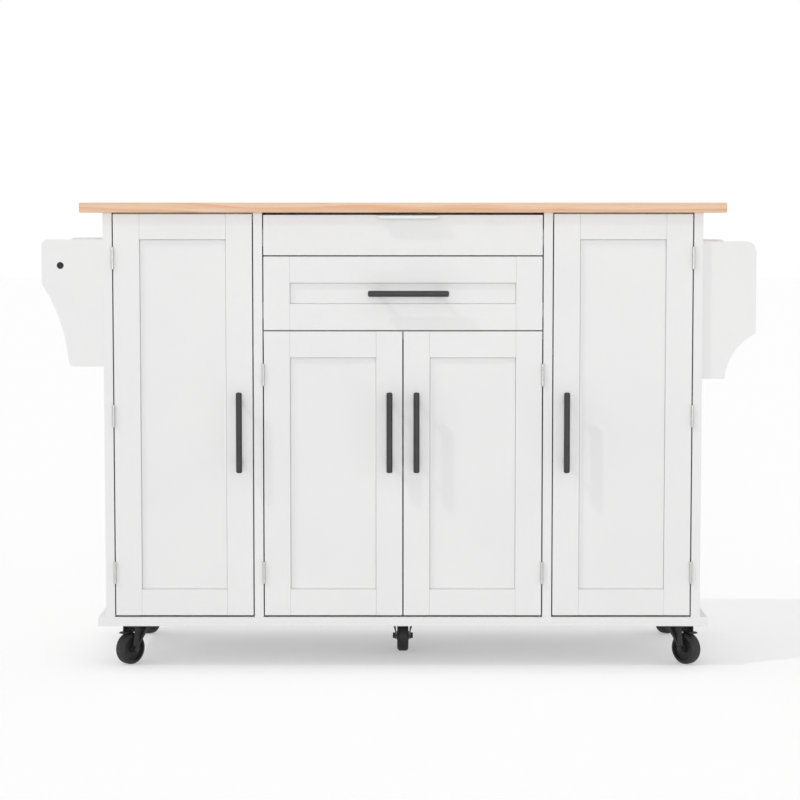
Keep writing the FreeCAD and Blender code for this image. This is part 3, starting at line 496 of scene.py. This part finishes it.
def add_drawer_screws():
    """The screws of the lower drawer's handle, and those of the runners' rails and channels."""
    handle = middle("lower_drawer_handle")
    front_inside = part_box("lower_drawer_box")[0].y + DRAWER_BOX_BOARD
    add_screws("lower_drawer_handle_screws", "lower_drawer", "hinge_steel",
               [(handle.x + end * HANDLE_SPACING / 2, front_inside, handle.z) for end in (-1, 1)],
               BACK, HANDLE_SCREW)
    bay_low, bay_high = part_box("runner_channels")
    for drawer in DRAWERS:
        low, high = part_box(f"{drawer}_runners")
        level = middle(f"{drawer}_runners").z
        depths = [low.y + share * (high.y - low.y) for share in THREE_ALONG]
        for side, label, rail_x, channel_x in (
                (-1, "left", low.x + RAIL_WIDTH, bay_low.x + CHANNEL_SHEET),
                (1, "right", high.x - RAIL_WIDTH, bay_high.x - CHANNEL_SHEET)):
            add_screws(f"{drawer}_{label}_rail_screws", drawer, "runner_steel",
                       [(rail_x, y, level) for y in depths], (side, 0, 0), RUNNER_SCREW)
            add_screws(f"{drawer}_{label}_channel_screws", "cabinet", "runner_steel",
                       [(channel_x, y, level) for y in depths], (-side, 0, 0), RUNNER_SCREW)


def add_case_screws():
    """Screws through the back boards into what they cover, and up through the stretchers into the worktop."""
    bars_low, bars_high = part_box("top_stretchers")
    case_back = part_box("back_boards")[1].y
    back_spots, worktop_spots = [], []
    for near, far in zip(UPRIGHTS, UPRIGHTS[1:]):
        in_center = near == "left_divider"
        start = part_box(near)[1].x
        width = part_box(far)[0].x - start
        for board in ("top_stretchers", "drawer_deck") if in_center else ("top_stretchers",):
            level = middle(board).z
            back_spots.extend((start + share * width, case_back, level) for share in THREE_ALONG)
        first_bar = bars_low.y + (CENTER_STRETCHER_SETBACK if in_center else 0)
        for y in (first_bar + STRETCHER_WIDTH / 2, bars_high.y - STRETCHER_WIDTH / 2):
            worktop_spots.extend((start + share * width, y, bars_low.z) for share in TWO_ALONG)
    add_screws("back_board_screws", "cabinet", "runner_steel", back_spots, BACK, BACK_SCREW)
    add_screws("worktop_screws", "cabinet", "runner_steel", worktop_spots, DOWN, WORKTOP_SCREW)


add_caster_screws()
add_door_hardware()
add_drawer_screws()
add_case_screws()


# Stage, light and camera
def seen_ray(tree):
    """1 on rays from the camera, and on those that reach it by gloss or through glass."""
    path = add(tree, "ShaderNodeLightPath").outputs
    shiny = number_math(tree, "MAXIMUM", path["Is Glossy Ray"], path["Is Transmission Ray"])
    return number_math(tree, "MAXIMUM", path["Is Camera Ray"], shiny)


def make_floor(half_width, seen, glow, bounce):
    """A wide pale floor that shows white to the camera and still takes the object's shadow."""
    corners = [(x * half_width, y * half_width, 0) for x, y in ((-1, -1), (1, -1), (1, 1), (-1, 1))]
    mesh = bpy.data.meshes.new("floor")
    mesh.from_pydata(corners, [], [(0, 1, 2, 3)])
    floor = bpy.data.objects.new("floor", mesh)
    bpy.context.scene.collection.objects.link(floor)
    material = bpy.data.materials.new("floor_paper")
    material.use_nodes = True
    tree = material.node_tree
    tree.nodes.clear()
    matt = add(tree, "ShaderNodeBsdfDiffuse", {"Color": grey(seen)}).outputs["BSDF"]
    lift = add(tree, "ShaderNodeEmission", {"Color": grey(1.0), "Strength": glow}).outputs["Emission"]
    lifted = add(tree, "ShaderNodeAddShader", {0: matt, 1: lift}).outputs["Shader"]
    plain = add(tree, "ShaderNodeBsdfDiffuse", {"Color": grey(bounce)}).outputs["BSDF"]
    mixed = add(tree, "ShaderNodeMixShader", {0: seen_ray(tree), 1: plain, 2: lifted}).outputs["Shader"]
    add(tree, "ShaderNodeOutputMaterial", {"Surface": mixed})
    mesh.materials.append(material)


def make_world(level, lean):
    """Soft light from all round, stronger along the lean; plain white where it is seen."""
    world = bpy.data.worlds.new("studio")
    bpy.context.scene.world = world
    world.use_nodes = True
    tree = world.node_tree
    tree.nodes.clear()
    towards = add(tree, "ShaderNodeTexCoord").outputs["Generated"]
    leaning = add(tree, "ShaderNodeVectorMath", {0: towards, 1: lean}, operation="DOT_PRODUCT")
    strength = number_math(tree, "ADD", leaning.outputs["Value"], level)
    soft, plain = (
        add(tree, "ShaderNodeBackground", {"Color": grey(1.0), "Strength": power}).outputs["Background"]
        for power in (strength, 1.0))
    mixed = add(tree, "ShaderNodeMixShader", {0: seen_ray(tree), 1: soft, 2: plain}).outputs["Shader"]
    add(tree, "ShaderNodeOutputWorld", {"Surface": mixed})


def make_sun(name, direction, strength, spread_angle):
    lamp = bpy.data.lights.new(name, "SUN")
    lamp.energy = strength
    lamp.angle = math.radians(spread_angle)
    sun = bpy.data.objects.new(name, lamp)
    sun.rotation_euler = Vector(direction).to_track_quat("-Z", "Y").to_euler()
    bpy.context.scene.collection.objects.link(sun)


def make_camera(place, pitch_down, lens, sensor_width):
    data = bpy.data.cameras.new("camera")
    data.lens = lens
    data.sensor_width = sensor_width
    camera = bpy.data.objects.new("camera", data)
    camera.location = place
    camera.rotation_euler = (math.radians(90 - pitch_down), 0, 0)
    bpy.context.scene.collection.objects.link(camera)
    bpy.context.scene.camera = camera


make_floor(half_width=30.0, seen=0.76, glow=0.32, bounce=0.82)
make_world(level=0.844, lean=(0.0, 0.0, -0.16))
make_sun("key", direction=(0.605, 0.321, -0.728), strength=0.50, spread_angle=1.2)
make_sun("fill", direction=(0.0, 1.0, -0.10), strength=0.60, spread_angle=24)
make_camera(place=(-0.006, -5.0621, 0.9232), pitch_down=4.415, lens=107.82, sensor_width=36.0)
bpy.context.scene.view_settings.view_transform = "Standard"
